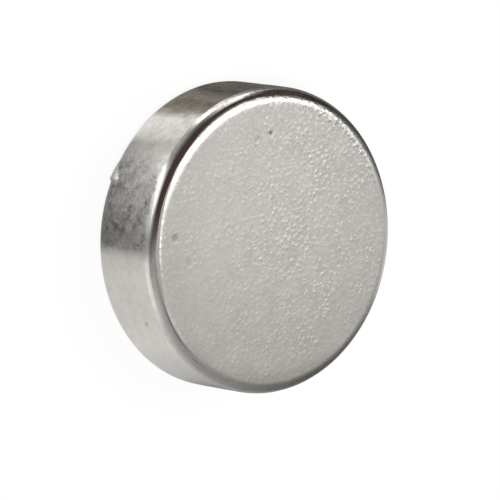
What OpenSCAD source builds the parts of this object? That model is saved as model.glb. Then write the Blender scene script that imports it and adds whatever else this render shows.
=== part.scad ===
// Disc magnet, one sintered and plated piece.
// It lies on one face. The origin is the centre of that face, and +Z runs along the magnetic axis.

/* [Disc] */
// Diameter over the rim
disc_d = 10; // [4:0.5:40]
// Thickness from face to face
disc_t = 3; // [1.5:0.5:20]
// Radius of the tumbled edge between each face and the rim
edge_r = 0.4; // [0.1:0.05:0.7]

/* [Hidden] */
$fn = 96;
nickel = "#BCBAB5";

rim_r = disc_d / 2;
// Radius of the flat part of each face, where the rounded edge begins
face_r = rim_r - edge_r;

// Half of the cross-section, from the axis on the left to the rim on the right.
// The quarter rounds are tangent to the face and to the rim, so neither shows a step.
module half_section() {
    // Full thickness under the flat faces
    square([face_r, disc_t]);
    // Straight band of the rim between the two rounded edges
    translate([0, edge_r])
        square([rim_r, disc_t - 2 * edge_r]);
    // Rounded edges, lower and upper
    for (edge_z = [edge_r, disc_t - edge_r])
        translate([face_r, edge_z])
            circle(r = edge_r);
}

module disc_magnet() {
    color(nickel)
        rotate_extrude()
            half_section();
}

disc_magnet();
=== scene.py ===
import math

import bpy
from bpy.props import FloatProperty, FloatVectorProperty, IntProperty, PointerProperty
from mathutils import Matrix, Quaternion, Vector, noise


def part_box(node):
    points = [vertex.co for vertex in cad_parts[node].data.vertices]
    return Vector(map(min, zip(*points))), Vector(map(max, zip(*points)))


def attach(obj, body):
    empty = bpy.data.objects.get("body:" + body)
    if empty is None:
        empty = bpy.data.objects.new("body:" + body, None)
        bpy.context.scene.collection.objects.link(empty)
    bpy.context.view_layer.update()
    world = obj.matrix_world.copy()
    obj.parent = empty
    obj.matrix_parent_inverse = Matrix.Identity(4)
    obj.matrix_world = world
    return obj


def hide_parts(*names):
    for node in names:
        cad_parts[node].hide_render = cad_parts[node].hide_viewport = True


bl_info = {
    "name": "Disc Magnet",
    "version": (1, 0, 0),
    "blender": (4, 5, 0),
    "location": "3D View > Sidebar > Disc Magnet",
    "description": "Builds a nickel-plated disc magnet and a small studio round it",
    "category": "Add Mesh",
}

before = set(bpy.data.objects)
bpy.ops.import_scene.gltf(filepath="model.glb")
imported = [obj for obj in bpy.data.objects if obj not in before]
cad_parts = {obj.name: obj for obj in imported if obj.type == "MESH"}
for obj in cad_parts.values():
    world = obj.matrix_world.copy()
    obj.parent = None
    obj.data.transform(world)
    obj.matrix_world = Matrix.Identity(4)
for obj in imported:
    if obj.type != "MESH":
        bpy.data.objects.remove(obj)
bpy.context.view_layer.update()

NODE = "disc_magnet"
MM = 0.001

# The disc as packed: it lies on its lower face, and its axis is the frame's own Z axis
LOW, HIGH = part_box(NODE)
THICKNESS = HIGH.z - LOW.z
AXIS_FOOT = Vector((0.0, 0.0, LOW.z))
CENTRE = Vector((0.0, 0.0, (LOW.z + HIGH.z) / 2))

# Pits in the plating of the upper face: (x, y, radius, depth) in millimetres, and how dark, as a share
FACE_PITS = (
    (-3.41, -0.82, 0.085, 0.012, 0.9),
    (-3.19, -1.28, 0.065, 0.005, 0.25),
    (-3.08, -1.38, 0.06, 0.004, 0.2),
    (-2.92, -1.35, 0.06, 0.005, 0.3),
    (0.39, -4.07, 0.16, 0.004, 0.42),
    (1.11, -3.36, 0.14, 0.003, 0.2),
)
# Pits in the plating of the rim: (azimuth in degrees, height, radius, depth in millimetres), and how dark
RIM_PITS = ((310.6, 1.85, 0.08, 0.008, 0.75),)
# The part of a pit's radius that is flat, how far its slope reaches, and how far it is looked for
PIT_FLOOR, PIT_SLOPE, PIT_REACH = 0.25, 1.3, 1.4
# The scuffed part of the rim, where the smudges are partly real and partly painted shade: its two azimuths,
# how far it fades in from each, and the slopes over which it ends towards the rounded edges, all in degrees
SCUFF_SHADE_START, SCUFF_SHADE_END = 240, 282.5
SCUFF_SHADE_FADE_IN, SCUFF_SHADE_FADE_OUT = 16, 3
SCUFF_SHADE_SLOPES = (1, 12)
# Slopes in degrees at which the relief of the rim has ended and at which that of the faces is full
RIM_ENDS, FACE_FULL = 40, 80
# A fine dark line along the rounded edge of the upper face, near -Y: its radius, half its width and its two
# ends along X in millimetres, and how dark it is
DARK_LINE_RADIUS, DARK_LINE_HALF = 4.792, 0.011
DARK_LINE_STARTS, DARK_LINE_ENDS = (1.9, 2.8), (3.5, 4.1)
DARK_LINE_DARKNESS = 0.6
# A flake of plating that stands out at the foot of the rim: its two azimuths and the length of its tip in
# degrees, and its height and rise in millimetres
FLAKE_START, FLAKE_END, FLAKE_TIP = 248.5, 257.0, 0.6
FLAKE_HEIGHT, FLAKE_RISE = 0.62, 0.085
# How the flake's height and rise grow from its start to its tip
FLAKE_LOW, FLAKE_GROWTH = 0.35, 0.75
# How far the roll-off of the faces reaches inside and outside the border of the flat part, in millimetres
ROLL_INSIDE, ROLL_OUTSIDE = 0.15, 0.15
# How far a face falls on the +X side and how hollow it is, beside its fall on the -X side
FAR_FALL, HOLLOW = 1.6, 0.8
# The fine grain's size as a share of the grain's, and how much the broad and the fine lumps count
FINE_GRAIN, BROAD_SHARE, FINE_SHARE = 0.55, 0.55, 0.35
# How far inside the rounded edge the deeper grain begins, in millimetres
DEEP_GRAIN = 0.4
# Sizes in millimetres: the unevenness of the faces, and the waves of the rim round it, up it and broad
SWAY_SIZE = 1.1
WAVE_ROUND, WAVE_UP, WAVE_BROAD = 0.55, 0.22, 0.75
# How much the broad waves count beside the short ones
WAVE_BROAD_SHARE = 1.8
# Shifts that keep the noises apart
FINE_SHIFT = Vector((7.3, 1.9, 4.1))
SWAY_SHIFT = Vector((3.1, 0.4, 9.2))
WAVE_SHIFT = Vector((5.7, 2.2, 8.8))
# Facets round the innermost ring of a face, and how many more each further ring has
INNER_FACETS = 6
# A height too small to matter, in metres
HAIR = 1e-7


def polar(azimuth, radius, height):
    """A point at an azimuth in degrees from +X, a radius from the axis and a height over the lower face."""
    turn = math.radians(azimuth)
    return AXIS_FOOT + Vector((math.cos(turn) * radius, math.sin(turn) * radius, height))


def smooth_step(low, high, value):
    """0 below low, 1 above high, and a smooth rise between them."""
    share = min(1.0, max(0.0, (value - low) / (high - low)))
    return share * share * (3 - 2 * share)


def rise(low, high, value):
    """A smooth rise between two places in millimetres."""
    return smooth_step(low * MM, high * MM, value)


def widest(height):
    """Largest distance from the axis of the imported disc's vertices at or above a height."""
    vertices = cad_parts[NODE].data.vertices
    return max(v.co.xy.length for v in vertices if v.co.z >= height)


RIM_RADIUS = widest(LOW.z)
# Radius of the flat part of a face
FACE_RADIUS = widest(HIGH.z - HAIR)
EDGE_RADIUS = RIM_RADIUS - FACE_RADIUS


# ---------- Settings ----------


class DiscRelief(bpy.types.PropertyGroup):
    """How finely the disc is meshed, and the relief of its plated skin."""

    face_rings: IntProperty(
        name="Face rings", description="Rings of facets from the middle of each face to its rounded edge",
        default=96, min=8, max=110,
    )
    edge_rows: IntProperty(
        name="Edge rows", description="Rows of facets across each rounded edge",
        default=12, min=3, max=16,
    )
    rim_rows: IntProperty(
        name="Rim rows", description="Rows of facets up the straight part of the rim",
        default=30, min=2, max=40,
    )
    grain_size: FloatProperty(
        name="Grain size", description="Width of the pebbles in the skin of the two faces",
        default=0.15 * MM, unit="LENGTH", precision=5,
    )
    grain_depth: FloatProperty(
        name="Grain depth", description="Depth of the hollows between the pebbles",
        default=0.002 * MM, unit="LENGTH", precision=6,
    )
    edge_grain: FloatProperty(
        name="Grain at the edge",
        description="How much deeper the grain is beside the rounded edge, as a share",
        default=1.2, min=0.0,
    )
    sway_depth: FloatProperty(
        name="Face sway", description="Depth of the broad, slow unevenness of the faces",
        default=0.004 * MM, unit="LENGTH", precision=6,
    )
    fall_depth: FloatProperty(
        name="Face fall", description="How far the faces fall away at their two sides",
        default=0.014 * MM, unit="LENGTH", precision=6,
    )
    roll_depth: FloatProperty(
        name="Face roll-off", description="How far the faces roll off just before their rounded edges",
        default=0.019 * MM, unit="LENGTH", precision=6,
    )
    rim_wave_depth: FloatProperty(
        name="Rim wave", description="Depth of the waves that grinding leaves round the rim",
        default=0.0065 * MM, unit="LENGTH", precision=6,
    )


class NickelFinish(bpy.types.PropertyGroup):
    """Colours and gloss of the nickel plating, and the colours of its painted glints and painted shade."""

    colour: FloatVectorProperty(
        name="Nickel", description="Colour of the clean plating",
        subtype="COLOR", min=0.0, max=1.0, default=(0.672, 0.65, 0.616),
    )
    dull_colour: FloatVectorProperty(
        name="Dull patches", description="Colour of the slightly duller, warmer patches",
        subtype="COLOR", min=0.0, max=1.0, default=(0.612, 0.585, 0.543),
    )
    pit_colour: FloatVectorProperty(
        name="Pits", description="Colour in the bottom of the pits",
        subtype="COLOR", min=0.0, max=1.0, default=(0.16, 0.15, 0.14),
    )
    # Colour of painted glints: the specks of the grain, a highlight along the worn band, the flake and
    # flecks on the scuffed part
    glint_colour: FloatVectorProperty(
        name="Painted glints", description="Colour of the tiny bright specks in the faces",
        subtype="COLOR", min=0.0, max=1.0, default=(0.83, 0.815, 0.78),
    )
    # Colour of painted shade in the hollows of the grain and towards the borders and the -X side of the
    # faces, and of the rim's mottling, which is partly real and partly painted shade
    mottle_and_shade_colour: FloatVectorProperty(
        name="Mottle and shade", description="Colour of the tiny dull hollows in the faces",
        subtype="COLOR", min=0.0, max=1.0, default=(0.47, 0.452, 0.425),
    )
    # The tarnish on the -X side of the rim is partly real and partly painted shade, and the stain on the
    # faces is painted shade
    tarnish_and_shade_colour: FloatVectorProperty(
        name="Tarnish and shade", description="Colour of the tarnish on the rim, and of the stain on the faces",
        subtype="COLOR", min=0.0, max=1.0, default=(0.44, 0.41, 0.355),
    )
    # Colour of the smudges and fine spots on the rim, which are partly real and partly painted shade
    smudge_and_shade_colour: FloatVectorProperty(
        name="Smudges and shade", description="Colour of the smudges on the scuffed part of the rim",
        subtype="COLOR", min=0.0, max=1.0, default=(0.235, 0.228, 0.213),
    )
    face_roughness: FloatProperty(
        name="Face roughness", description="Roughness of the satin faces",
        default=0.35, min=0.0, max=1.0, subtype="FACTOR",
    )
    rim_roughness: FloatProperty(
        name="Rim roughness", description="Roughness of the polished rim and rounded edges",
        default=0.13, min=0.0, max=1.0, subtype="FACTOR",
    )


class StudioSettings(bpy.types.PropertyGroup):
    """Floor, lamps, cards and camera."""

    floor_colour: FloatVectorProperty(
        name="Floor", description="Colour of the floor",
        subtype="COLOR", min=0.0, max=1.0, default=(0.86, 0.86, 0.86),
    )
    floor_radius: FloatProperty(
        name="Floor radius", description="Radius of the round floor",
        default=0.45, unit="LENGTH",
    )
    room_level: FloatProperty(
        name="Room light", description="Brightness of the even light from all round",
        default=0.4, min=0.0,
    )
    ceiling_level: FloatProperty(
        name="Ceiling", description="Brightness of the room straight above the disc",
        default=0.62, min=0.0,
    )
    softbox_level: FloatProperty(
        name="Softbox", description="Brightness of the softbox above and behind the disc",
        default=1.64, min=0.0,
    )
    floor_level: FloatProperty(
        name="Floor light", description="Light that the lamp for the floor adds to a white floor",
        default=0.55, min=0.0,
    )
    floor_glow: FloatProperty(
        name="Floor glow", description="Share of the floor's whiteness that no shadow takes away",
        default=0.88, min=0.0, max=1.0, subtype="FACTOR",
    )
    view_elevation: FloatProperty(
        name="View elevation", description="Height of the camera above the plane of the disc",
        default=math.radians(50.72), subtype="ANGLE",
    )
    view_roll: FloatProperty(
        name="View roll", description="Turn of the camera about its own line of sight",
        default=math.radians(98.66), subtype="ANGLE",
    )
    view_distance: FloatProperty(
        name="View distance", description="Distance from the camera to the middle of the disc",
        default=0.1948, unit="LENGTH",
    )
    view_lens: FloatProperty(
        name="Lens", description="Focal length of the camera, for a sensor 36 mm wide",
        default=432.0, unit="CAMERA",
    )


# ---------- Disc ----------


def skin_rows(relief):
    """Rows of the skin from the middle of the upper face, over the rim, to the middle of the lower one.
    Each is (radius, height, outward slope, segments): slope 90 degrees faces up and 0 faces out."""
    around = INNER_FACETS * relief.face_rings
    face = []
    for ring in range(relief.face_rings + 1):
        radius = FACE_RADIUS * ring / relief.face_rings
        face.append((radius, THICKNESS, math.pi / 2, max(1, INNER_FACETS * ring)))
    edge = []
    for row in range(1, relief.edge_rows + 1):
        slope = math.pi / 2 * (1 - row / relief.edge_rows)
        radius = FACE_RADIUS + EDGE_RADIUS * math.cos(slope)
        edge.append((radius, THICKNESS - EDGE_RADIUS * (1 - math.sin(slope)), slope, around))
    rim = []
    for row in range(1, relief.rim_rows):
        height = THICKNESS - EDGE_RADIUS - (THICKNESS - 2 * EDGE_RADIUS) * row / relief.rim_rows
        rim.append((RIM_RADIUS, height, 0.0, around))
    upper = face + edge
    lower = []
    for radius, height, slope, count in reversed(upper):
        lower.append((radius, THICKNESS - height, -slope, count))
    return upper + rim + lower


def grain(point, relief):
    """Depth of the pebbled grain at a point, from 0 on the pebbles' tops. It is deeper beside the rounded
    edge on the -X side, and shallower towards -Y."""
    broad = noise.noise(point / relief.grain_size)
    fine = noise.noise(point / (relief.grain_size * FINE_GRAIN) + FINE_SHIFT)
    beside_edge = smooth_step(FACE_RADIUS - DEEP_GRAIN * MM, FACE_RADIUS, point.xy.length)
    beside_edge *= rise(-0.3, 1.5, -point.x)
    depth = relief.grain_depth * (1 + beside_edge * relief.edge_grain)
    depth *= 0.5 + 0.5 * rise(-4.0, 0.0, point.y)
    return depth * min(1.0, max(0.0, 0.5 - BROAD_SHARE * broad - FINE_SHARE * fine))


def sway(point, relief):
    """Depth of the broad unevenness of a face."""
    return relief.sway_depth * (0.5 - 0.5 * noise.noise(point / (SWAY_SIZE * MM) + SWAY_SHIFT))


def fall(point, height, relief):
    """How far a point moves along the axis: the faces fall slightly towards +X, are slightly hollow from -Y
    to +Y, and roll off a little before the rounded edge."""
    across = rise(-5.2, -1.0, point.x) + FAR_FALL * rise(1.0, 5.8, point.x)
    across += HOLLOW * (1 - (point.y / RIM_RADIUS) ** 2)
    border = smooth_step(FACE_RADIUS - ROLL_INSIDE * MM, FACE_RADIUS + ROLL_OUTSIDE * MM, point.xy.length)
    border *= 0.1 + 0.9 * rise(0.0, 2.6, -point.x)
    border *= 1 - 0.5 * rise(-0.5, 2.0, point.y)
    half = THICKNESS / 2
    side = min(1.0, max(-1.0, (height - half) / (half - EDGE_RADIUS)))
    return -side * (across * relief.fall_depth + border * relief.roll_depth)


def rim_wave(point, relief):
    """Depth of the waves in the rim: short ones, longer round the disc than across it, and broad ones."""
    around, up = WAVE_ROUND * MM, WAVE_UP * MM
    short = 0.5 - 0.5 * noise.noise(Vector((point.x / around, point.y / around, point.z / up)))
    broad = 0.5 - 0.5 * noise.noise(point / (WAVE_BROAD * MM) + WAVE_SHIFT)
    return relief.rim_wave_depth * (short + WAVE_BROAD_SHARE * broad)


def pit_list():
    """Every pit as (centre, radius, depth, darkness), lengths in metres."""
    pits = [(AXIS_FOOT + Vector((x * MM, y * MM, THICKNESS)), *form) for x, y, *form in FACE_PITS]
    pits += [(polar(azimuth, RIM_RADIUS, height * MM), *form) for azimuth, height, *form in RIM_PITS]
    return [(centre, radius * MM, depth * MM, darkness) for centre, radius, depth, darkness in pits]


def skin_depth(point, slope, relief, pits):
    """How far the skin lies under the true surface at a point, and how dark a pit makes it."""
    steepness = math.degrees(abs(slope))
    on_face = smooth_step(RIM_ENDS, FACE_FULL, steepness)
    on_rim = 1 - smooth_step(0, RIM_ENDS, steepness)
    depth = on_face * (grain(point, relief) + sway(point, relief)) + on_rim * rim_wave(point, relief)
    soiled = 0.0
    for centre, radius, pit_depth, darkness in pits:
        distance = (point - centre).length
        if distance < PIT_REACH * radius:
            share = 1 - smooth_step(PIT_FLOOR, PIT_SLOPE, distance / radius)
            depth += share * pit_depth
            soiled = max(soiled, share * darkness)
    return depth, soiled


def scuffed_and_shaded(azimuth, slope):
    """How scuffed the skin is at an azimuth in degrees, from 0 to 1, where painted shade also darkens it.
    """
    starts = smooth_step(SCUFF_SHADE_START, SCUFF_SHADE_START + SCUFF_SHADE_FADE_IN, azimuth)
    ends = 1 - smooth_step(SCUFF_SHADE_END - SCUFF_SHADE_FADE_OUT, SCUFF_SHADE_END, azimuth)
    return starts * ends * (1 - smooth_step(*SCUFF_SHADE_SLOPES, math.degrees(abs(slope))))


def flaked(azimuth, height):
    """How far the flake at the foot of the rim has lifted: 0 outside it and 1 at its tip."""
    along = min(1.0, max(0.0, (azimuth - FLAKE_START) / (FLAKE_END - FLAKE_TIP - FLAKE_START)))
    top = FLAKE_HEIGHT * (FLAKE_LOW + (1 - FLAKE_LOW) * along) * MM
    up = 1 - smooth_step(top - 0.1 * MM, top, height)
    tip = 1 - smooth_step(FLAKE_END - FLAKE_TIP, FLAKE_END, azimuth)
    return along ** FLAKE_GROWTH * tip * up * rise(0.02, 0.12, height)


def skin_vertices(rows, relief):
    """Vertex positions row by row, and how soiled, how scuffed and shaded and how flaked each is."""
    pits = pit_list()
    places, soil, scuff_shades, flakes = [], [], [], []
    for radius, height, slope, count in rows:
        for step in range(count):
            turn = 2 * math.pi * step / count
            outward = Vector((math.cos(turn), math.sin(turn), 0.0))
            point = AXIS_FOOT + outward * radius + Vector((0, 0, height))
            normal = outward * math.cos(slope) + Vector((0, 0, math.sin(slope)))
            depth, soiled = skin_depth(point, slope, relief, pits)
            lift = flaked(math.degrees(turn), height) if abs(slope) < math.pi / 2 else 0.0
            place = point - normal * depth + outward * lift * FLAKE_RISE * MM
            place.z += fall(point, height, relief)
            places.append(place)
            soil.append(soiled)
            scuff_shades.append(scuffed_and_shaded(math.degrees(turn), slope))
            flakes.append(min(1.0, 4 * lift))
    return places, soil, scuff_shades, flakes


def band_faces(outer_first, outer_count, inner_first, inner_count):
    """Faces between two rows of vertices. Equal rows make quads, and unequal ones triangles."""
    faces = []
    if inner_count == outer_count:
        for step in range(outer_count):
            after = (step + 1) % outer_count
            faces.append((inner_first + step, outer_first + step, outer_first + after, inner_first + after))
        return faces
    outer, inner = 0, 0
    while outer < outer_count or inner < inner_count:
        outer_vertex = outer_first + outer % outer_count
        inner_vertex = inner_first + inner % inner_count
        outer_next = (outer + 1) / outer_count
        inner_next = (inner + 1) / inner_count if inner_count > 1 else 2.0
        if outer_next <= inner_next and outer < outer_count:
            faces.append((inner_vertex, outer_vertex, outer_first + (outer + 1) % outer_count))
            outer += 1
        elif inner_count > 1:
            faces.append((inner_vertex, outer_vertex, inner_first + (inner + 1) % inner_count))
            inner += 1
        else:
            break
    return faces


def skin_faces(rows):
    """Faces of the whole skin, wound so that they face outward."""
    faces = []
    first = 0
    for (_, _, _, count), (_, _, _, next_count) in zip(rows, rows[1:]):
        after = first + count
        if count <= next_count:
            faces += band_faces(after, next_count, first, count)
        else:
            faces += [tuple(reversed(face)) for face in band_faces(first, count, after, next_count)]
        first = after
    return faces


def link_new(name, data):
    """A new object in the scene."""
    made = bpy.data.objects.new(name, data)
    bpy.context.scene.collection.objects.link(made)
    return made


def build_disc(relief):
    """The plated disc as one closed mesh."""
    rows = skin_rows(relief)
    places, soil, scuff_shades, flakes = skin_vertices(rows, relief)
    mesh = bpy.data.meshes.new("plated_disc")
    mesh.from_pydata(places, [], skin_faces(rows))
    mesh.validate()
    mesh.shade_smooth()
    for name, values in (("soil", soil), ("scuff_shade", scuff_shades), ("flake", flakes)):
        mesh.attributes.new(name, "FLOAT", "POINT").data.foreach_set("value", values)
    return link_new("plated_disc", mesh)


# ---------- Nickel plating ----------

# Sizes of the finish's lumps, marks and clouds in millimetres
LUMP_SIZE, DOT_SIZE, TOOTH_SIZE, WANDER_SIZE = 0.13, 0.172, 0.16, 0.12
GATHERING_SIZE, PATCH_SIZE, CLOUD_SIZE, SMUDGE_SIZE = 0.9, 0.6, 0.9, 0.8
STREAK_SIZE, FILM_SIZE, MOTTLE_SIZE, SPOT_SIZE = 0.28, 0.38, 0.3, 0.16
# How far the border between satin and polish wanders, and how far outside the flat part of a face polish
# begins and is full, in millimetres: as it mostly is, and where the satin runs on over the rounded edge
WANDER = 0.06
POLISH_STARTS, POLISH_FULL = (0.03, 0.12), (0.1, 0.46)
# The worn band along the border of a face: its two edges from that border and how far its teeth move them,
# in millimetres, and its roughness
BAND_INSIDE, BAND_OUTSIDE, TEETH_REACH = -0.18, -0.04, (-0.1, 0.14)
BAND_ROUGHNESS = 0.17
# Shares of the direction and of the place in the noise of the teeth, which make them longer than wide, and
# their height beside the lumps
TEETH_LAP, TEETH_WAY, TEETH_HEIGHT = 0.68, 0.32, 1.35
FLAKE_ROUGHNESS = 0.34
# Height of the skin's bumps in millimetres
BUMP_HEIGHT = 0.005


class NodeBench:
    """A node tree, with short calls for the nodes that the finishes use."""

    def __init__(self, owner):
        owner.use_nodes = True
        self.owner = owner
        self.tree = owner.node_tree
        self.tree.nodes.clear()

    def add(self, kind, inputs=(), **settings):
        """A node of a kind, with its settings, and its inputs either set or linked."""
        node = self.tree.nodes.new(kind)
        for name, value in settings.items():
            setattr(node, name, value)
        for key, value in dict(inputs).items():
            if isinstance(value, bpy.types.NodeSocket):
                self.tree.links.new(value, node.inputs[key])
            else:
                node.inputs[key].default_value = value
        return node

    def maths(self, operation, first, second=0.0, clamp=False):
        """The result of one sum."""
        inputs = {0: first, 1: second}
        return self.add("ShaderNodeMath", inputs, operation=operation, use_clamp=clamp).outputs[0]

    def times(self, *values):
        """The product of values, multiplied in the order given."""
        product = values[0]
        for value in values[1:]:
            product = self.maths("MULTIPLY", product, value)
        return product

    def vectors(self, operation, first, second=(0.0, 0.0, 0.0)):
        """The result of one sum of vectors."""
        inputs = {0: first, 1: second}
        return self.add("ShaderNodeVectorMath", inputs, operation=operation).outputs["Vector"]

    def spread(self, value, from_low, from_high, to_low=0.0, to_high=1.0, smooth=False):
        """A value moved from one range to another, and held inside it."""
        inputs = {0: value, 1: from_low, 2: from_high, 3: to_low, 4: to_high}
        kind = "SMOOTHSTEP" if smooth else "LINEAR"
        return self.add("ShaderNodeMapRange", inputs, interpolation_type=kind).outputs["Result"]

    def along(self, value, first, last, to_first=0.0, to_last=1.0, start=0.0, smooth=False):
        """A value spread between two places in millimetres, counted from a start in metres."""
        return self.spread(value, start + first * MM, start + last * MM, to_first, to_last, smooth)

    def noise(self, vector, size, detail=2.0, roughness=0.5):
        """Noise whose lumps are about a size in millimetres."""
        inputs = {"Vector": vector, "Scale": 1 / (size * MM), "Detail": detail, "Roughness": roughness}
        return self.add("ShaderNodeTexNoise", inputs).outputs["Fac"]

    def blend(self, share, first, second):
        """A colour between two."""
        inputs = {"Factor": share, "A": first, "B": second}
        return self.add("ShaderNodeMix", inputs, data_type="RGBA").outputs["Result"]

    def blend_value(self, share, first, second):
        """A number between two."""
        return self.add("ShaderNodeMix", {0: share, 2: first, 3: second}, data_type="FLOAT").outputs[0]


class SkinBench(NodeBench):
    """A node bench that knows the places on the disc's skin and the marks that its mesh carries."""

    def __init__(self, name):
        super().__init__(bpy.data.materials.new(name))
        self.place = self.add("ShaderNodeTexCoord").outputs["Object"]
        parts = self.add("ShaderNodeSeparateXYZ", {0: self.place}).outputs
        self.x, self.y, self.z = parts["X"], parts["Y"], parts["Z"]
        self.across = self.add("ShaderNodeCombineXYZ", {"X": self.x, "Y": self.y}).outputs[0]
        length = self.add("ShaderNodeVectorMath", {0: self.across}, operation="LENGTH")
        self.radius = length.outputs["Value"]

    def mark(self, name):
        """One of the marks that the mesh carries: soil, scuff_shade or flake. The scuffed part is partly
        painted shade.
        """
        return self.add("ShaderNodeAttribute", attribute_name=name).outputs["Fac"]

    def squeezed(self, up):
        """Places whose height is multiplied by a factor."""
        return self.vectors("MULTIPLY", self.place, (1.0, 1.0, up))


def opaque(colour):
    """A colour with full opacity."""
    return (*colour, 1.0)


def polished_share(skin):
    """0 on the faces and 1 on the rounded edges and the rim, with a border that wanders a little. On the +X
    side the satin of the faces runs on over the rounded edge."""
    wander = skin.spread(skin.noise(skin.place, WANDER_SIZE), 0.3, 0.7, -WANDER * MM, WANDER * MM)
    run_on = skin.times(
        skin.along(skin.x, 1.0, 3.4, smooth=True),
        skin.along(skin.y, -3.0, -1.4, smooth=True),
    )
    border = skin.maths("ADD", skin.radius, wander)
    starts, full = [
        skin.blend_value(run_on, FACE_RADIUS + usual * MM, FACE_RADIUS + far * MM)
        for usual, far in (POLISH_STARTS, POLISH_FULL)
    ]
    return skin.spread(border, starts, full, smooth=True)


def grain_strength(skin):
    """How strong the grain of the faces is: it gathers in places, and thins out towards -Y, +X and +Y."""
    gathering = skin.spread(skin.noise(skin.place, GATHERING_SIZE, detail=2.0), 0.36, 0.62, 0.5, 1.0)
    thinning = skin.times(
        skin.along(skin.y, -3.6, 1.6, 0.5, 1.12, smooth=True),
        skin.times(skin.along(skin.x, 0.5, 3.5, 1.0, 0.7), skin.along(skin.y, 2.4, 4.4, 1.0, 0.6)),
    )
    return skin.times(gathering, thinning)


def worn_band(skin):
    """The band along the border of the face on the -X side, where it is worn smooth between fine radial
    teeth: its share, and how high its teeth stand."""
    lap = TEETH_LAP * FACE_RADIUS
    part_lap = skin.vectors("MULTIPLY", skin.vectors("NORMALIZE", skin.across), (lap, lap, 1.0))
    part_way = skin.vectors("MULTIPLY", skin.across, (TEETH_WAY, TEETH_WAY, 1.0))
    teeth = skin.noise(skin.vectors("ADD", part_lap, part_way), TOOTH_SIZE, detail=1.0)
    fade = skin.along(skin.y, 2.8, 4.2, 1.0, 0.35)
    size = skin.maths(
        "MAXIMUM",
        skin.times(skin.along(skin.y, -2.0, 2.5, 0.25, 1.0), fade),
        skin.along(skin.y, -4.2, -4.7, 0.0, 0.4),
    )
    inner, outer = TEETH_REACH
    reach = skin.times(skin.spread(teeth, 0.3, 0.7, inner * MM, outer * MM), size)
    starts = skin.maths("ADD", skin.radius, reach)
    near_end = skin.along(skin.y, -1.0, 2.0, 0.0, -1.1 * MM)
    side = skin.spread(skin.x, near_end, skin.maths("SUBTRACT", near_end, 2.2 * MM), 0.0, 1.0)
    band = skin.along(starts, BAND_INSIDE, BAND_OUTSIDE, 0.0, side, start=FACE_RADIUS, smooth=True)
    return band, skin.times(band, skin.times(teeth, skin.times(size, TEETH_HEIGHT)))


def tarnish_and_shade_share(skin, rim):
    """Brownish tarnish in streaks over the -X side of the rim, partly real and partly painted shade, and
    soft painted shade inside the border of the faces on the +X side."""
    film = skin.noise(skin.squeezed(0.6), FILM_SIZE, detail=4.0, roughness=0.65)
    side = skin.along(skin.x, -2.6, -3.8, 0.0, 0.75)
    edge = skin.along(skin.radius, -0.08, -0.02, 0.3, 1.0, start=RIM_RADIUS)
    tarnish_and_shade_rim = skin.times(skin.spread(film, 0.44, 0.6), skin.times(side, edge, rim))
    border_shade_side = skin.times(
        skin.along(skin.x, 2.9, 4.0, smooth=True),
        skin.along(skin.y, -1.6, 0.2, 0.15, 0.55, smooth=True),
    )
    shaded_border = skin.times(
        skin.along(skin.radius, -0.5, -0.08, 0.0, border_shade_side, start=FACE_RADIUS, smooth=True),
        skin.along(skin.radius, -0.05, 0.12, 1.0, 0.1, start=FACE_RADIUS),
    )
    return skin.maths("MAXIMUM", tarnish_and_shade_rim, shaded_border)


def dark_line_share(skin):
    """The fine dark line near -Y, which fades out at its two ends."""
    off_line = skin.maths("ABSOLUTE", skin.maths("SUBTRACT", skin.radius, DARK_LINE_RADIUS * MM))
    line = skin.along(off_line, DARK_LINE_HALF, 2.4 * DARK_LINE_HALF, DARK_LINE_DARKNESS, 0.0)
    ends = skin.times(skin.along(skin.x, *DARK_LINE_STARTS), skin.along(skin.x, *DARK_LINE_ENDS, 1.0, 0.0))
    below_y = skin.maths("LESS_THAN", skin.y, 0.0)
    upper = skin.maths("GREATER_THAN", skin.z, CENTRE.z)
    return skin.times(line, skin.times(ends, skin.times(below_y, upper)))


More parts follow.
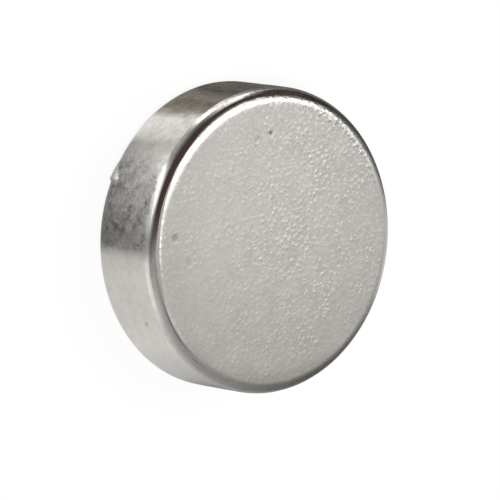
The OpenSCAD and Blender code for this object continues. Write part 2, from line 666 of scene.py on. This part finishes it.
def nickel_plating(finish):
    """Satin nickel with painted glints and painted shade in the grain of the faces, and brighter, scuffed
    nickel on the rim, whose smudges, mottling and tarnish are partly painted shade.
    """
    skin = SkinBench("nickel_plating")
    soil, scuff_shade, flake = skin.mark("soil"), skin.mark("scuff_shade"), skin.mark("flake")
    rim = polished_share(skin)

    # Grain of the faces: specks and flecks are painted glints, and hollows are painted shade
    # The grain's strength scales its relief and also its painted glints and shade
    strength = grain_strength(skin)
    lumps = skin.noise(skin.place, LUMP_SIZE, detail=1.3, roughness=0.6)
    # Distance from the fine dots that the pebbles and flecks sit on
    dot_field = {"Vector": skin.place, "Scale": 1 / (DOT_SIZE * MM)}
    dots = skin.add("ShaderNodeTexVoronoi", dot_field).outputs["Distance"]
    flecks = skin.spread(dots, 0.1, 0.34, 1.0, 0.0)
    pebbles = skin.spread(dots, 0.05, 0.5, 1.0, 0.0, smooth=True)
    satin = skin.spread(lumps, 0.35, 0.65, finish.face_roughness + 0.03, finish.face_roughness - 0.04)
    specks = skin.spread(lumps, 0.54, 0.7, 0.0, 0.7)
    gaps = skin.spread(dots, 0.5, 0.8, 0.0, 0.35)
    hollow_shade = skin.maths("MAXIMUM", skin.spread(lumps, 0.45, 0.28, 0.0, 0.6), gaps)
    band, teeth_swing = worn_band(skin)
    face_rough = skin.blend_value(band, satin, BAND_ROUGHNESS)
    # Painted glints on the grain, and a painted highlight along the worn band
    face_glints = skin.times(skin.maths("MAXIMUM", specks, skin.times(flecks, 0.5)), strength)
    glint_share = skin.maths("MAXIMUM", face_glints, skin.times(band, 0.4))
    # Painted shade, darker towards the border of the faces, towards -Y and on the -X side
    border_shade = skin.maths(
        "ADD",
        skin.along(skin.radius, 2.4, 4.6, 0.0, 0.26),
        skin.along(skin.y, -2.8, -4.5, 0.0, 0.2),
    )
    side_shade = skin.along(skin.x, -4.0, 4.4, 0.1, -0.1)
    broad_shade = skin.maths("ADD", border_shade, side_shade)
    painted_shade_share = skin.maths("ADD", skin.times(hollow_shade, strength), broad_shade, clamp=True)

    # Marks of grinding run round the rim
    streaks = skin.noise(skin.squeezed(3.0), STREAK_SIZE, detail=3.0, roughness=0.6)
    rim_marks = skin.blend_value(0.5, streaks, skin.noise(skin.place, CLOUD_SIZE, detail=3.0))
    ground_low, ground_high = finish.rim_roughness - 0.03, finish.rim_roughness + 0.06
    ground_rough = skin.spread(rim_marks, 0.38, 0.62, ground_low, ground_high)
    # The rounded edges are smoother than the straight rim, and the flake is rougher
    straight = skin.along(skin.radius, -0.06, -0.01, 0.7, 1.0, start=RIM_RADIUS)
    rim_rough = skin.blend_value(flake, skin.times(ground_rough, straight), FLAKE_ROUGHNESS)

    # Mottling of the whole rim, stronger on the -X side, partly real and partly painted shade, with fine
    # dark spots there, and smudges on the scuffed part, partly real and partly painted shade
    mottle = skin.noise(skin.place, MOTTLE_SIZE, detail=5.0, roughness=0.8)
    mottle_and_shade_side = skin.along(skin.x, -1.5, -3.8, 0.34, 0.8)
    mottle_and_shade_share = skin.times(skin.spread(mottle, 0.47, 0.62), mottle_and_shade_side)
    fine_spots = skin.noise(skin.squeezed(0.5), SPOT_SIZE, detail=2.0, roughness=0.7)
    spot_shade_side = skin.times(skin.along(skin.x, -3.2, -4.2, 0.0, 0.6), rim)
    spot_and_shade_share = skin.times(skin.spread(fine_spots, 0.48, 0.66), spot_shade_side)
    smudges = skin.spread(mottle, 0.42, 0.61)
    smudge_clouds = skin.spread(skin.noise(skin.place, SMUDGE_SIZE, detail=1.0), 0.38, 0.62, 0.4, 1.0)
    smudge_and_shade_share = skin.times(smudges, smudge_clouds, scuff_shade)

    # Each finish lies over the ones before it
    patches = skin.spread(skin.noise(skin.place, PATCH_SIZE, detail=2.0), 0.36, 0.66, 0.0, 0.7)
    rim_dull = skin.spread(rim_marks, 0.45, 0.66, 0.0, 0.7)
    dullness = skin.blend_value(rim, patches, rim_dull)
    clean = skin.blend(dullness, opaque(finish.colour), opaque(finish.dull_colour))
    hollowed = skin.blend(painted_shade_share, clean, opaque(finish.mottle_and_shade_colour))
    speckled = skin.blend(glint_share, hollowed, opaque(finish.glint_colour))
    mottled_and_shaded = skin.blend(mottle_and_shade_share, clean, opaque(finish.mottle_and_shade_colour))
    colour = skin.blend(rim, speckled, mottled_and_shaded)
    # Over them lie, in order: tarnish, partly real and partly painted shade, with painted shade by the +X
    # border of the faces; spots and smudges, partly real and partly painted shade; painted glints on the
    # flake and on flecks of the scuffed part; dark pits and the dark line
    layers = (
        (tarnish_and_shade_share(skin, rim), finish.tarnish_and_shade_colour),
        (spot_and_shade_share, finish.smudge_and_shade_colour),
        (smudge_and_shade_share, finish.smudge_and_shade_colour),
        (skin.maths("MAXIMUM", flake, skin.times(flecks, scuff_shade, 0.75)), finish.glint_colour),
        (skin.maths("MAXIMUM", soil, dark_line_share(skin)), finish.pit_colour),
    )
    for share, layer_colour in layers:
        colour = skin.blend(share, colour, opaque(layer_colour))

    # The lumps and the teeth stand out, and the rim is smoother than the faces
    bumps = skin.maths("ADD", skin.times(lumps, 0.6), skin.times(pebbles, 0.62))
    face_swing = skin.maths("ADD", skin.times(strength, bumps), teeth_swing)
    height = skin.blend_value(rim, face_swing, skin.spread(mottle, 0.0, 1.0, 0.0, 0.05))
    bump = skin.add("ShaderNodeBump", {"Height": height, "Strength": 1.0, "Distance": BUMP_HEIGHT * MM})

    inputs = {
        "Base Color": colour,
        "Roughness": skin.blend_value(rim, face_rough, rim_rough),
        "Metallic": 1.0,
        "Normal": bump.outputs["Normal"],
    }
    shader = skin.add("ShaderNodeBsdfPrincipled", inputs)
    skin.add("ShaderNodeOutputMaterial", {"Surface": shader.outputs["BSDF"]})
    return skin.owner


# ---------- Studio ----------

# Sides of the round floor
FLOOR_SIDES = 96
# The softbox: its width, length and distance in metres, and where it stands, in degrees
SOFTBOX_WIDTH, SOFTBOX_LENGTH, SOFTBOX_DISTANCE = 0.065, 0.086, 0.13
SOFTBOX_AZIMUTH, SOFTBOX_ELEVATION = 122, 64
# The lamp for the floor: its distance in metres, and where it stands and how wide it is, in degrees
FLOOR_LAMP_DISTANCE = 0.3
FLOOR_LAMP_AZIMUTH, FLOOR_LAMP_ELEVATION, FLOOR_LAMP_WIDTH = 285, 62, 12
# Elevations, in degrees, between which the room brightens from its walls to its ceiling
CEILING_STARTS, CEILING_FULL = 56, 80
# Azimuth of the camera in degrees
VIEW_AZIMUTH = 270
# Width of the camera's sensor in millimetres, and the nearest and farthest that it sees, in metres
SENSOR_WIDTH = 36.0
NEAREST, FARTHEST = 0.01, 2.0
# How far the disc's middle lies left of and above the middle of the view, as shares of its width
FRAME_LEFT, FRAME_UP = 0.0086, 0.0263
# Rows across each card, and the most degrees between two of its columns
CARD_ROWS = 8
CARD_STEP = 3.0
# Tints of the cards and the room's light
GREY = (1.0, 1.0, 1.0)
WARM = (1.33, 0.91, 0.88)
FAINTLY_WARM = (1.09, 1.0, 0.90)


def build_floor(studio):
    """A plain round floor. Where it is looked at, most of its light is its own, so that it is white and the
    disc's shadow on it is faint."""
    mesh = bpy.data.meshes.new("floor")
    edge = [polar(360 * side / FLOOR_SIDES, studio.floor_radius, 0.0) for side in range(FLOOR_SIDES)]
    mesh.from_pydata(edge, [], [tuple(range(FLOOR_SIDES))])
    floor = link_new("floor", mesh)
    bench = NodeBench(bpy.data.materials.new("pale_floor"))
    cloth = bench.add("ShaderNodeBsdfDiffuse", {"Color": opaque(studio.floor_colour), "Roughness": 0.0})
    white = bench.add("ShaderNodeEmission", {"Strength": 1.0})
    ray = bench.add("ShaderNodeLightPath").outputs
    mirrored = bench.maths("ADD", ray["Is Glossy Ray"], ray["Is Transmission Ray"])
    looked_at = bench.maths("ADD", ray["Is Camera Ray"], mirrored, clamp=True)
    share = bench.times(looked_at, studio.floor_glow)
    blended = {0: share, 1: cloth.outputs["BSDF"], 2: white.outputs["Emission"]}
    surface = bench.add("ShaderNodeMixShader", blended)
    bench.add("ShaderNodeOutputMaterial", {"Surface": surface.outputs["Shader"]})
    mesh.materials.append(bench.owner)
    return floor


def card_paper():
    """Paper of the cards, as bright as each card's own tone says."""
    paper = bpy.data.materials.new("card_paper")
    bench = NodeBench(paper)
    tone = bench.add("ShaderNodeAttribute", attribute_name="tone").outputs["Color"]
    glow = bench.add("ShaderNodeEmission", {"Color": tone, "Strength": 1.0})
    bench.add("ShaderNodeOutputMaterial", {"Surface": glow.outputs["Emission"]})
    paper.cycles.emission_sampling = "NONE"
    return paper


def between(first, second, share):
    """The value at a share of the way from the first to the second."""
    return first + (second - first) * share


def full_stop(stop):
    """A card's stop with its azimuth and brightness at the foot and at the head."""
    if len(stop) == 2:
        azimuth, level = stop
        return (azimuth, azimuth, level, level)
    if len(stop) == 3:
        azimuth, foot_level, head_level = stop
        return (azimuth, azimuth, foot_level, head_level)
    return stop


def card_columns(short_stops):
    """The card's stops, with more put between them so that it bends smoothly."""
    stops = [full_stop(stop) for stop in short_stops]
    columns = []
    for stop, after in zip(stops, stops[1:]):
        steps = math.ceil(max(after[0] - stop[0], after[1] - stop[1]) / CARD_STEP)
        for step in range(steps):
            columns.append([between(a, b, step / steps) for a, b in zip(stop, after)])
    columns.append(list(stops[-1]))
    return columns


def build_card(name, foot, head, tint, stops, paper):
    """A card bent round the disc's axis. Only reflections see it, and it throws no shadow."""
    columns = card_columns(stops)
    places, faces, tones = [], [], []
    for row in range(CARD_ROWS + 1):
        share = row / CARD_ROWS
        radius = foot[0] * (head[0] / foot[0]) ** share
        height = between(foot[1], head[1], share)
        for foot_azimuth, head_azimuth, foot_level, head_level in columns:
            places.append(polar(between(foot_azimuth, head_azimuth, share), radius * MM, height * MM))
            level = between(foot_level, head_level, share)
            tones += [level * tint[0], level * tint[1], level * tint[2], 1.0]
    count = len(columns)
    for row in range(CARD_ROWS):
        for column in range(count - 1):
            corner = row * count + column
            faces.append((corner, corner + 1, corner + count + 1, corner + count))
    mesh = bpy.data.meshes.new(name)
    mesh.from_pydata(places, [], faces)
    mesh.attributes.new("tone", "FLOAT_COLOR", "POINT").data.foreach_set("color", tones)
    mesh.materials.append(paper)
    card = link_new(name, mesh)
    card.visible_camera = False
    card.visible_diffuse = False
    card.visible_transmission = False
    card.visible_shadow = False


# Each card: (name, foot, head, tint, stops). Mats lie on the floor and cards stand. Foot and head are
# (radius, height) of its long edges in millimetres. A stop is (azimuth at the foot, azimuth at the head,
# brightness at the foot, brightness at the head), and a shorter one leaves out what is alike at both
CARDS = (
    # Graded mats close to the disc, which the straight rim reflects
    ("mat_upper_rim", (5.03, 0.02), (6.95, 0.02), FAINTLY_WARM, (
        (170, 150, 0.21, 0.17), (184, 164, 0.13, 0.1), (192, 172, 0.18, 0.14), (201, 181, 0.13, 0.12),
        (205, 185.5, 0.24, 0.2), (209, 190, 0.32, 0.31), (214, 196, 0.28, 0.21), (219.5, 202, 0.31, 0.29),
        (223, 207, 0.58, 0.58),
    )),
    ("mat_front_rim", (5.03, 0.02), (7.3, 0.02), GREY, (
        (223, 204.6, 0.6, 0.66), (227, 208.6, 1.3, 1.0), (231, 213.7, 1.18, 1.06), (236, 221, 0.97, 1.02),
        (240, 227.3, 0.51, 0.77), (247, 236.6, 0.42, 1.02), (254, 247.1, 0.38, 0.84),
        (262, 258, 0.32, 0.64), (270, 269.4, 0.25, 0.52), (277, 279.3, 0.24, 0.38),
        (280.5, 284, 0.28, 0.36), (282.5, 286.5, 0.47, 0.52), (285, 290.8, 0.72, 0.78),
        (291, 297.9, 0.81, 0.84), (312, 323.5, 0.82, 0.85), (325, 340, 0.87, 0.86),
        (337, 355.4, 0.72, 0.68), (350, 371.9, 0.55, 0.5), (365, 388, 0.25, 0.22), (380, 403, 0.25, 0.21),
    )),
    ("mat_back_rim", (5.03, 0.02), (6.95, 0.02), GREY, (
        (19.5, 39, 0.26, 0.22), (60, 70, 0.24, 0.2), (110, 106, 0.18, 0.14), (150, 136, 0.18, 0.14),
        (170, 150, 0.21, 0.17),
    )),
    # Two small bright patches, which the top of the rim reflects where its scuffed and shaded part begins
    ("mat_patch_upper", (6.3, 0.03), (7.0, 0.03), GREY, (
        (209, 207.5, 0.5, 0.5), (212.5, 210.5, 0.85, 1.9), (216, 214.5, 1.0, 1.7), (220, 219, 1.0, 1.0),
    )),
    ("mat_patch_front", (6.4, 0.03), (7.2, 0.03), GREY, (
        (235, 234, 0.76, 0.8), (237.5, 237, 0.76, 1.55), (243, 242.5, 0.72, 1.6), (247, 246.5, 0.64, 0.88),
    )),
    # Narrow mat under the overhang of the lower rounded edge
    ("mat_foot", (4.68, 0.02), (5.03, 0.02), GREY, (
        (150, 0.25), (200, 0.2), (218, 0.28), (226, 0.55), (232, 0.9), (240, 0.62), (252, 0.45),
        (264, 0.34), (276, 0.22), (281, 0.28), (286, 0.7), (312, 0.82), (325, 0.86), (337, 0.76),
        (350, 0.62), (380, 0.4), (440, 0.3), (510, 0.25),
    )),
    # Wide mat of white and grey fields, which the lower part of the rounded edge reflects
    ("mat_wide", (6.95, 0.02), (70.0, 0.02), GREY, (
        (140, 0.3, 0.15), (165, 143, 0.22, 0.15), (178, 146, 0.24, 0.3), (187, 149, 0.4, 0.8),
        (192, 152, 0.62, 1.3), (197, 156, 1.05, 2.2), (204, 170, 1.3, 2.1), (209, 182, 2.1, 2.0),
        (214, 192, 2.2, 2.0), (218, 198, 1.0, 0.75), (222, 204, 0.6, 0.26), (235, 234, 0.48, 0.24),
        (239, 238, 0.85, 0.85), (242, 2.0, 2.0), (252, 261, 1.4, 2.1), (257, 264.5, 0.95, 2.1),
        (262, 268, 0.8, 1.9), (270, 273, 0.76, 0.95), (279, 0.42, 0.32), (285, 0.5, 0.3),
        (290, 292, 1.1, 0.4), (297, 1.25, 0.6), (312, 1.1, 0.75), (322, 0.88, 0.68), (335, 0.68, 0.58),
        (360, 0.52, 0.5), (380, 0.45, 0.4), (400, 0.3, 0.22), (420, 0.2, 0.14), (438, 0.28, 0.3),
        (447, 0.75, 0.8), (457, 0.75, 0.8), (465, 0.2, 0.16), (478, 0.1, 0.09), (500, 0.28, 0.15),
    )),
    # White cards that stand on the wide mat
    ("card_white_upper", (60, 0), (60, 37), GREY, (
        (158, 0.32, 0.08), (163, 0.5, 0.12), (168, 1.2, 0.26), (171, 2.6, 0.45), (180, 2.6, 0.4),
        (185, 1.9, 0.26), (190, 1.2, 0.15), (195, 0.62, 0.08), (201, 0.3, 0.05), (228, 0.28, 0.05),
    )),
    ("card_white_front", (60, 0), (60, 33), GREY, (
        (228, 0.3, 0.05), (234, 0.6, 0.05), (240, 1.0, 0.06), (246, 1.7, 0.08), (257, 1.7, 0.08),
        (263, 1.1, 0.08), (268, 0.75, 0.08), (275, 0.45, 0.1), (282, 0.24, 0.12), (291, 0.32, 0.24),
    )),
    # Black cards, which draw the dark line round the rounded edge. One end of them is grey
    ("card_black_upper", (61, 14), (61, 66), WARM, ((138, 0.09), (150, 0.07), (176, 0.065))),
    ("card_black_corner", (61, 66), (61, 108), WARM, ((154, 171, 0.07, 0.07), (177, 0.065))),
    ("card_black_front", (61, 14), (61, 172), WARM, ((174, 0.065), (262, 0.06), (270, 0.09), (278, 0.13))),
    ("card_black_end", (61, 14), (61, 172), GREY, ((278, 0.13), (285, 0.22), (294, 0.36))),
    ("card_black_crown", (61, 172), (61, 230), WARM, ((195, 0.08), (262, 0.07), (285, 0.13))),
    # Dark strip that leans, which draws the thin line along the +X border of the face
    ("card_dark_strip", (62, 40), (62, 122), GREY, (
        (1, 328, 0.34, 0.34), (3.5, 330.5, 0.03, 0.03), (9, 336, 0.03, 0.03),
    )),
    # Pale cards high up, beside that strip
    ("card_pale_high", (40, 54), (40, 77), GREY, (
        (-6, 0.36, 0.5), (2, 0.4, 0.84), (30, 0.4, 0.88), (58, 0.44, 0.84), (74, 0.46, 0.6),
    )),
    ("card_pale_top", (40, 77), (24, 86), GREY, (
        (-6, 0.5, 0.4), (2, 0.84, 0.44), (30, 0.88, 0.6), (58, 0.84, 0.66), (74, 0.6, 0.6),
    )),
    # Cards on the +Y side, dim beside one bright field, which the edge there reflects
    ("card_back", (62, 0), (62, 36), GREY, (
        (20, 0.38, 0.43), (38, 0.24, 0.32), (50, 0.16, 0.21), (60, 0.09, 0.13), (66, 0.08, 0.1),
        (75, 0.1, 0.12), (81, 0.28, 0.32), (86, 0.85, 0.54), (97, 0.7, 0.7), (104, 0.2, 0.5),
        (111, 0.09, 0.34), (119, 0.07, 0.2), (128, 0.06, 0.05), (140, 0.06, 0.07), (166, 0.08, 0.08),
    )),
    ("card_back_high", (62, 36), (62, 67), GREY, (
        (20, 0.43, 0.42), (38, 0.32, 0.36), (50, 0.21, 0.24), (60, 0.13, 0.15), (66, 0.1, 0.11),
        (75, 0.12, 0.13), (81, 0.32, 0.34), (86, 0.54, 0.38), (97, 0.7, 0.85), (104, 0.5, 1.8),
        (111, 0.34, 2.2), (119, 0.2, 2.0), (128, 0.05, 0.6), (140, 0.07, 0.07), (166, 0.08, 0.08),
    )),
    # Pale card from the -Y side round to the +X side, duller at its head
    ("card_pale_right", (63, 0), (63, 66), GREY, (
        (290, 0.35, 0.42), (298, 0.46, 0.44), (306, 0.54, 0.45), (314, 0.66, 0.46), (324, 0.72, 0.44),
        (336, 0.6, 0.41), (350, 0.48, 0.38), (366, 0.42, 0.38), (380, 0.38, 0.4),
    )),
)


def direction_to(azimuth, elevation):
    """Unit vector from the disc towards an azimuth and elevation in degrees."""
    turn, lift = math.radians(azimuth), math.radians(elevation)
    return Vector((math.cos(turn) * math.cos(lift), math.sin(turn) * math.cos(lift), math.sin(lift)))


def hang_lamp(lamp, azimuth, elevation, distance):
    """A lamp that hangs at a distance from the disc and points at it."""
    made = link_new(lamp.name, lamp)
    direction = direction_to(azimuth, elevation)
    made.location = CENTRE + direction * distance
    made.rotation_mode = "QUATERNION"
    made.rotation_quaternion = (-direction).to_track_quat("-Z", "Y")
    return made


def build_softbox(studio):
    """A large soft lamp above the disc and behind it, which lights the faces."""
    lamp = bpy.data.lights.new("softbox", "AREA")
    lamp.shape = "RECTANGLE"
    lamp.size = SOFTBOX_WIDTH
    lamp.size_y = SOFTBOX_LENGTH
    lamp.energy = studio.softbox_level * math.pi * lamp.size * lamp.size_y
    softbox = hang_lamp(lamp, SOFTBOX_AZIMUTH, SOFTBOX_ELEVATION, SOFTBOX_DISTANCE)
    softbox.visible_camera = False


def build_floor_lamp(studio, floor):
    """A soft lamp that lights only the floor, so that it stays pale and still takes the disc's shadow."""
    lamp = bpy.data.lights.new("floor_lamp", "SUN")
    lamp.angle = math.radians(FLOOR_LAMP_WIDTH)
    lamp.energy = studio.floor_level * math.pi / math.sin(math.radians(FLOOR_LAMP_ELEVATION))
    made = hang_lamp(lamp, FLOOR_LAMP_AZIMUTH, FLOOR_LAMP_ELEVATION, FLOOR_LAMP_DISTANCE)
    lit = bpy.data.collections.new("lit_by_floor_lamp")
    lit.objects.link(floor)
    made.light_linking.receiver_collection = lit


def build_room(studio):
    """Even light from all round, a little brighter from the ceiling."""
    world = bpy.data.worlds.new("room")
    bench = NodeBench(world)
    place = bench.add("ShaderNodeTexCoord").outputs["Generated"]
    height = bench.add("ShaderNodeSeparateXYZ", {0: place}).outputs["Z"]
    starts, full = math.sin(math.radians(CEILING_STARTS)), math.sin(math.radians(CEILING_FULL))
    level = bench.spread(height, starts, full, studio.room_level, studio.ceiling_level, smooth=True)
    light = bench.add("ShaderNodeBackground", {"Color": opaque(GREY), "Strength": level})
    bench.add("ShaderNodeOutputWorld", {"Surface": light.outputs["Background"]})
    # The cards stand in the way of what a ray mirrors, and a sampled background would pass them
    world.cycles.sampling_method = "NONE"
    bpy.context.scene.world = world


def build_camera(studio):
    """The camera, rolled so that the disc seems to stand on its rim."""
    data = bpy.data.cameras.new("camera")
    data.sensor_width = SENSOR_WIDTH
    data.lens = studio.view_lens
    data.clip_start = NEAREST
    data.clip_end = FARTHEST
    camera = link_new("camera", data)
    back = direction_to(VIEW_AZIMUTH, math.degrees(studio.view_elevation))
    turn = (-back).to_track_quat("-Z", "Y") @ Quaternion((0, 0, 1), studio.view_roll)
    view_width = studio.view_distance * data.sensor_width / data.lens
    aside = turn @ Vector((FRAME_LEFT * view_width, -FRAME_UP * view_width, 0.0))
    camera.rotation_mode = "QUATERNION"
    camera.rotation_quaternion = turn
    camera.location = CENTRE + back * studio.view_distance + aside
    bpy.context.scene.camera = camera


# ---------- Operators and panel ----------


class MAGNET_OT_add_disc(bpy.types.Operator):
    """Add the nickel-plated disc in place of the plain one"""

    bl_idname = "magnet.add_disc"
    bl_label = "Add plated disc"
    bl_options = {"REGISTER", "UNDO"}

    def execute(self, context):
        disc = build_disc(context.scene.magnet_relief)
        disc.data.materials.append(nickel_plating(context.scene.magnet_finish))
        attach(disc, "root")
        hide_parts(NODE)
        return {"FINISHED"}


class MAGNET_OT_add_studio(bpy.types.Operator):
    """Add the floor, the lamps, the cards and the camera"""

    bl_idname = "magnet.add_studio"
    bl_label = "Add studio"
    bl_options = {"REGISTER", "UNDO"}

    def execute(self, context):
        studio = context.scene.magnet_studio
        floor = build_floor(studio)
        build_floor_lamp(studio, floor)
        build_softbox(studio)
        build_room(studio)
        paper = card_paper()
        for card in CARDS:
            build_card(*card, paper)
        build_camera(studio)
        context.scene.view_settings.view_transform = "Standard"
        return {"FINISHED"}


class MAGNET_PT_panel(bpy.types.Panel):
    """Panel in the sidebar of the 3D view"""

    bl_label = "Disc Magnet"
    bl_space_type = "VIEW_3D"
    bl_region_type = "UI"
    bl_category = "Disc Magnet"

    def draw(self, context):
        for settings in SETTINGS:
            group = getattr(context.scene, settings)
            for name in group.__annotations__:
                self.layout.prop(group, name)
        self.layout.operator("magnet.add_disc")
        self.layout.operator("magnet.add_studio")


SETTINGS = {"magnet_relief": DiscRelief, "magnet_finish": NickelFinish, "magnet_studio": StudioSettings}
CLASSES = (*SETTINGS.values(), MAGNET_OT_add_disc, MAGNET_OT_add_studio, MAGNET_PT_panel)


def register():
    for made in CLASSES:
        bpy.utils.register_class(made)
    for name, group in SETTINGS.items():
        setattr(bpy.types.Scene, name, PointerProperty(type=group))


def unregister():
    for name in SETTINGS:
        delattr(bpy.types.Scene, name)
    for made in reversed(CLASSES):
        bpy.utils.unregister_class(made)


def main():
    register()
    bpy.ops.magnet.add_disc()
    bpy.ops.magnet.add_studio()


if __name__ == "__main__":
    main()
